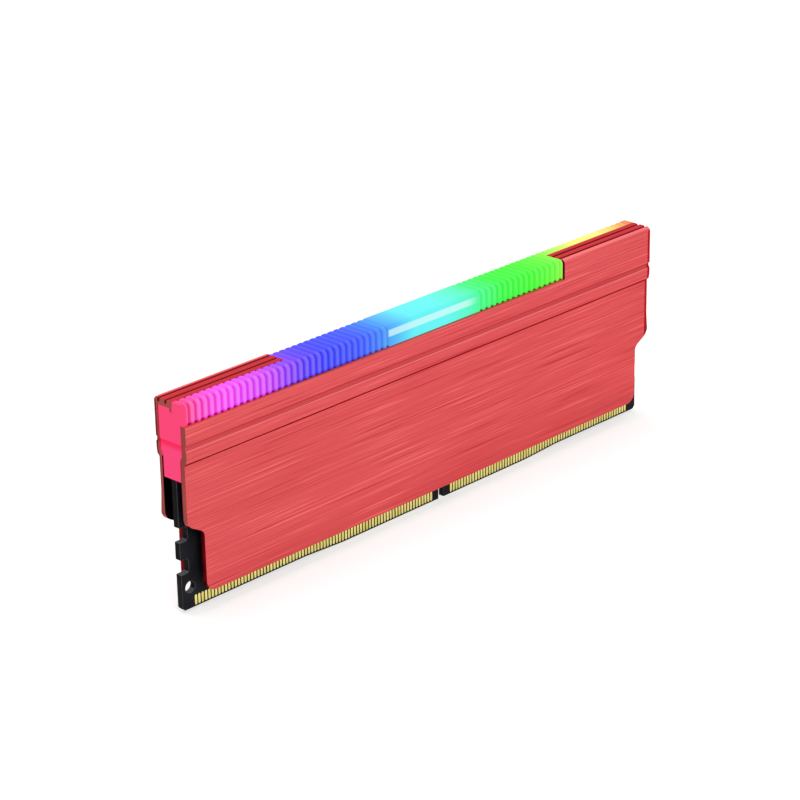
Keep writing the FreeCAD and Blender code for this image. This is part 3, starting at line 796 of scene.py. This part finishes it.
def crown_section(inset):
    """The bar's upper outline at one place, as (Y, Z) points, anticlockwise seen from +X."""
    face = guide_face - inset
    high = top - inset
    radius = GUIDE_EDGE_RADIUS
    points = [(face, GUIDE_SHOULDER)]
    for step in range(EDGE_STEPS + 1):
        turn = math.pi / 2 * step / EDGE_STEPS
        points.append((face - radius + radius * math.cos(turn), high - radius + radius * math.sin(turn)))
    for step in range(EDGE_STEPS + 1):
        turn = math.pi / 2 * (1 + step / EDGE_STEPS)
        points.append((-face + radius + radius * math.cos(turn), high - radius + radius * math.sin(turn)))
    points.append((-face, GUIDE_SHOULDER))
    points.append((-GUIDE_WEB_HALF, GUIDE_SHOULDER))
    points.append((-GUIDE_WEB_HALF, GUIDE_WEB_TOP))
    points.append((GUIDE_WEB_HALF, GUIDE_WEB_TOP))
    points.append((GUIDE_WEB_HALF, GUIDE_SHOULDER))
    return points


def make_light_guide(material):
    """The moulding with round ribs over its front, top and rear, cut back under both flanges."""
    stations = rib_stations()
    sections = [crown_section(rib_inset(x)) for x in stations]
    count = len(sections[0])
    points = [(x, y, z) for x, section in zip(stations, sections) for y, z in section]
    faces = []
    for ring in range(len(stations) - 1):
        base = ring * count
        faces += [
            (base + i, base + (i + 1) % count, base + count + (i + 1) % count, base + count + i)
            for i in range(count)
        ]
    last = (len(stations) - 1) * count
    faces += [tuple(reversed(range(count))), tuple(range(last, last + count))]
    mesh = bpy.data.meshes.new("ribbed_light_guide")
    mesh.from_pydata(points, [], faces)
    bar = link(bpy.data.objects.new("ribbed_light_guide", mesh))
    room = [
        (guide_face + CUT_PAST, OPEN_EDGE),
        (guide_face + CUT_PAST, top + CUT_PAST),
        (-HOOK_SLOT_FAR, top + CUT_PAST),
        (-HOOK_SLOT_FAR, HOOK_SLOT_FLOOR),
        (-HOOK_SLOT_NEAR, HOOK_SLOT_FLOOR),
        (-HOOK_SLOT_NEAR, FLANGE_UNDERSIDE),
        (GUIDE_WEB_HALF, FLANGE_UNDERSIDE),
        (GUIDE_WEB_HALF, OPEN_EDGE),
    ]
    rear = prism("rear_flange_room", room, -half_length - CUT_PAST, -FLANGE_END + FLANGE_GAP)
    bar = cut_away(bar, rear)
    front = prism("front_flange_room", room, -half_length - CUT_PAST, -FLANGE_END + FLANGE_GAP)
    front.data.transform(Matrix.Rotation(math.pi, 4, "Z"))
    bar = cut_away(bar, front)
    web = prism(
        "light_guide_web",
        [
            (GUIDE_FOOT_HALF, guide_low.z),
            (GUIDE_FOOT_HALF, GUIDE_STEP_LOW),
            (GUIDE_WEB_HALF, GUIDE_STEP_TOP),
            (GUIDE_WEB_HALF, GUIDE_WEB_TOP),
            (-GUIDE_WEB_HALF, GUIDE_WEB_TOP),
            (-GUIDE_WEB_HALF, GUIDE_STEP_TOP),
            (-GUIDE_FOOT_HALF, GUIDE_STEP_LOW),
            (-GUIDE_FOOT_HALF, guide_low.z),
        ],
        -half_length + GUIDE_WEB_SETBACK,
        half_length - GUIDE_WEB_SETBACK,
    )
    slot = [
        (-SLOT_HALF, guide_low.z - CUT_PAST),
        (SLOT_HALF, guide_low.z - CUT_PAST),
        (SLOT_HALF, SLOT_TOP),
        (-SLOT_HALF, SLOT_TOP),
    ]
    web = cut_away(web, prism("board_slot", slot, board_low.x - SLOT_END_ROOM, board_high.x + SLOT_END_ROOM))
    for part in (bar, web):
        finish_mesh(part.data, material)
        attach(part, "root")
    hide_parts("light_guide")
    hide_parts("light_guide")


def edge_height(x):
    """Height of the board's lower edge at a place along it."""
    outward = abs(x - EDGE_STEP_MIDDLE) + EDGE_STEP_MIDDLE
    share = (outward - EDGE_STEP_START) / (EDGE_STEP_END - EDGE_STEP_START)
    return EDGE_STEP * min(1.0, max(0.0, share))


def make_contacts(node, side, material):
    """Rows of gold pads with round ends, slightly crowned, on one face of the board."""
    low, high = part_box(node)
    base = board_high.y * side
    face = high.y if side > 0 else low.y
    radius = CONTACT_WIDTH / 2
    first_left = low.x + radius
    last_right = high.x - radius
    middles = [first_left + i * CONTACT_PITCH for i in range(LEFT_CONTACTS)]
    middles += [last_right - i * CONTACT_PITCH for i in range(RIGHT_CONTACTS)]
    side_end = base + (face - base) * CONTACT_SIDE_HEIGHT
    levels = ((1.0, base), (CONTACT_SIDE_WIDTH, side_end), (CONTACT_CROWN_WIDTH, face))
    points = []
    faces = []
    for middle in middles:
        bottom = edge_height(middle) + CONTACT_MARGIN + radius
        tip = high.z - radius
        outline = []
        for centre, start in ((tip, 0.0), (bottom, math.pi)):
            for step in range(CONTACT_ROUND_STEPS + 1):
                turn = start + math.pi * step / CONTACT_ROUND_STEPS
                outline.append((math.cos(turn), math.sin(turn), centre))
        first = len(points)
        count = len(outline)
        for share, y in levels:
            for across, up, centre in outline:
                points.append((middle + across * radius * share, y, centre + up * radius * share))
        for lower in (first, first + count):
            upper = lower + count
            for i in range(count):
                following = (i + 1) % count
                quad = (lower + i, lower + following, upper + following, upper + i)
                faces.append(quad if side < 0 else tuple(reversed(quad)))
        front = tuple(range(first + 2 * count, first + 3 * count))
        back = tuple(range(first, first + count))
        faces.append(front if side < 0 else tuple(reversed(front)))
        faces.append(tuple(reversed(back)) if side < 0 else back)
    mesh = bpy.data.meshes.new(f"{node}_round")
    mesh.from_pydata(points, [], faces)
    finish_mesh(mesh, material, 40)
    pads = link(bpy.data.objects.new(f"{node}_round", mesh))
    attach(pads, "root")
    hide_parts(node)


def paint(node, material):
    """Gives a carried-over solid a material."""
    data = nodes[node].data
    data.materials.clear()
    data.materials.append(material)


def plain_finish(node):
    """The name of the finish of a carried-over solid."""
    if "memory_chip" in node or node == "serial_data_chip":
        return "chip_moulding"
    if node.endswith("thermal_pad"):
        return "thermal_pad_silicone"
    if node == "front_resistor_arrays":
        return "resistor_ceramic"
    if node == "led_strip_board":
        return "white_strip_board"
    return "led_body" if node.startswith("led_") else None


def dress():
    """Builds the pieces that replace solids and paints the solids that are carried over."""
    red = brushed_red()
    gold = gold_plate()
    for node, end in (("front_cover", half_length), ("rear_cover", -half_length)):
        cover = softened_copy(node, f"{node}_brushed", red, COVER_SOFTENING, flanged_end=end)
    make_light_guide(lit_plastic())
    board = softened_copy("memory_board", "memory_board_routed", solder_mask(), BOARD_SOFTENING, 1)
    make_contacts("front_contacts", -1, gold)
    make_contacts("rear_contacts", 1, gold)
    plain = {name: moulded(name, *look) for name, look in PLAIN_FINISHES.items()}
    for node in nodes:
        finish = plain_finish(node)
        if finish is not None:
            paint(node, plain[finish])


# Camera, fitted to the photograph

VIEW_AZIMUTH = math.radians(-45.932)
VIEW_ELEVATION = math.radians(22.162)
VIEW_ROLL = math.radians(1.088)
FOCAL_PIXELS = 2714.0
VIEW_DISTANCE = 544.56 * MM
IMAGE_SIZE = 800
SENSOR_WIDTH = 36.0
# The middle of the module, 21.5 mm up, shows at this pixel.
MIDDLE_PIXEL = (422.899, 405.355)
MIDDLE_POINT = Vector((0, 0, 21.5 * MM))


def make_camera():
    """A camera that sees the module as the photograph does."""
    forward = Vector((
        -math.sin(VIEW_AZIMUTH) * math.cos(VIEW_ELEVATION),
        math.cos(VIEW_AZIMUTH) * math.cos(VIEW_ELEVATION),
        -math.sin(VIEW_ELEVATION),
    ))
    level_right = forward.cross(Vector((0, 0, 1))).normalized()
    level_down = forward.cross(level_right)
    right = math.cos(VIEW_ROLL) * level_right + math.sin(VIEW_ROLL) * level_down
    down = -math.sin(VIEW_ROLL) * level_right + math.cos(VIEW_ROLL) * level_down
    across, lower = ((pixel - IMAGE_SIZE / 2) / FOCAL_PIXELS for pixel in MIDDLE_PIXEL)
    offset = (across * right + lower * down + forward) * VIEW_DISTANCE
    camera_data = bpy.data.cameras.new("camera")
    camera_data.sensor_width = SENSOR_WIDTH
    camera_data.lens = FOCAL_PIXELS / IMAGE_SIZE * SENSOR_WIDTH
    camera_data.clip_start = 0.01
    camera_data.clip_end = 20
    camera = link(bpy.data.objects.new("camera", camera_data))
    turn = Matrix((right, -down, -forward)).transposed().to_4x4()
    camera.matrix_world = Matrix.Translation(MIDDLE_POINT - offset) @ turn
    bpy.context.scene.camera = camera


# Surroundings

# Strength of the surround as a lamp; where it is seen itself, its strength is 1.
SURROUND_LIGHT = 0.4
FLOOR_COLOUR = (0.52, 0.52, 0.52)
FLOOR_LIFT = 0.58
FLOOR_REACH = 3.0
# Name, place in metres, side of the square in metres and power in watts.
LAMPS = (
    ("key", (-0.3, -0.9, 0.75), 0.6, 5.6),
    ("overhead", (0.0, 0.05, 1.1), 0.7, 5.0),
    ("back", (-0.2, 0.85, 0.6), 0.6, 3.0),
)


def shown_directly(tree):
    """1 for rays that show the surroundings themselves: seen, mirrored or through glass."""
    path = tree.nodes.new("ShaderNodeLightPath")
    mirrored = math_node(tree, "MAXIMUM", path.outputs["Is Glossy Ray"], path.outputs["Is Transmission Ray"])
    return math_node(tree, "MAXIMUM", path.outputs["Is Camera Ray"], mirrored)


def make_surroundings():
    """A white floor that keeps the shadow, a white surround and three soft lamps."""
    world = bpy.data.worlds.new("surround")
    bpy.context.scene.world = world
    world.use_nodes = True
    tree = world.node_tree
    background = tree.nodes["Background"]
    background.inputs["Color"].default_value = (1, 1, 1, 1)
    direct = shown_directly(tree)
    tree.links.new(remap(tree, direct, 0.0, 1.0, SURROUND_LIGHT, 1.0), background.inputs["Strength"])
    mesh = bpy.data.meshes.new("floor")
    reach = FLOOR_REACH
    corners = [(-reach, -reach, 0), (reach, -reach, 0), (reach, reach, 0), (-reach, reach, 0)]
    mesh.from_pydata(corners, [], [(0, 1, 2, 3)])
    floor = link(bpy.data.objects.new("floor", mesh))
    material, tree, shader = make_material("white_floor", Roughness=0.9)
    shader.inputs["Base Color"].default_value = (*FLOOR_COLOUR, 1)
    shader.inputs["Specular IOR Level"].default_value = 0.0
    shader.inputs["Emission Color"].default_value = (1, 1, 1, 1)
    lift = remap(tree, shown_directly(tree), 0.0, 1.0, 0.0, FLOOR_LIFT)
    tree.links.new(lift, shader.inputs["Emission Strength"])
    mesh.materials.append(material)
    for name, place, width, power in LAMPS:
        lamp_data = bpy.data.lights.new(name, "AREA")
        lamp_data.shape = "SQUARE"
        lamp_data.size = width
        lamp_data.energy = power
        lamp = link(bpy.data.objects.new(name, lamp_data))
        aim = MIDDLE_POINT - Vector(place)
        lamp.matrix_world = Matrix.Translation(place) @ aim.to_track_quat("-Z", "Y").to_matrix().to_4x4()


clear_default_scene()
dress()
make_camera()
make_surroundings()
bpy.context.scene.view_settings.view_transform = "Standard"
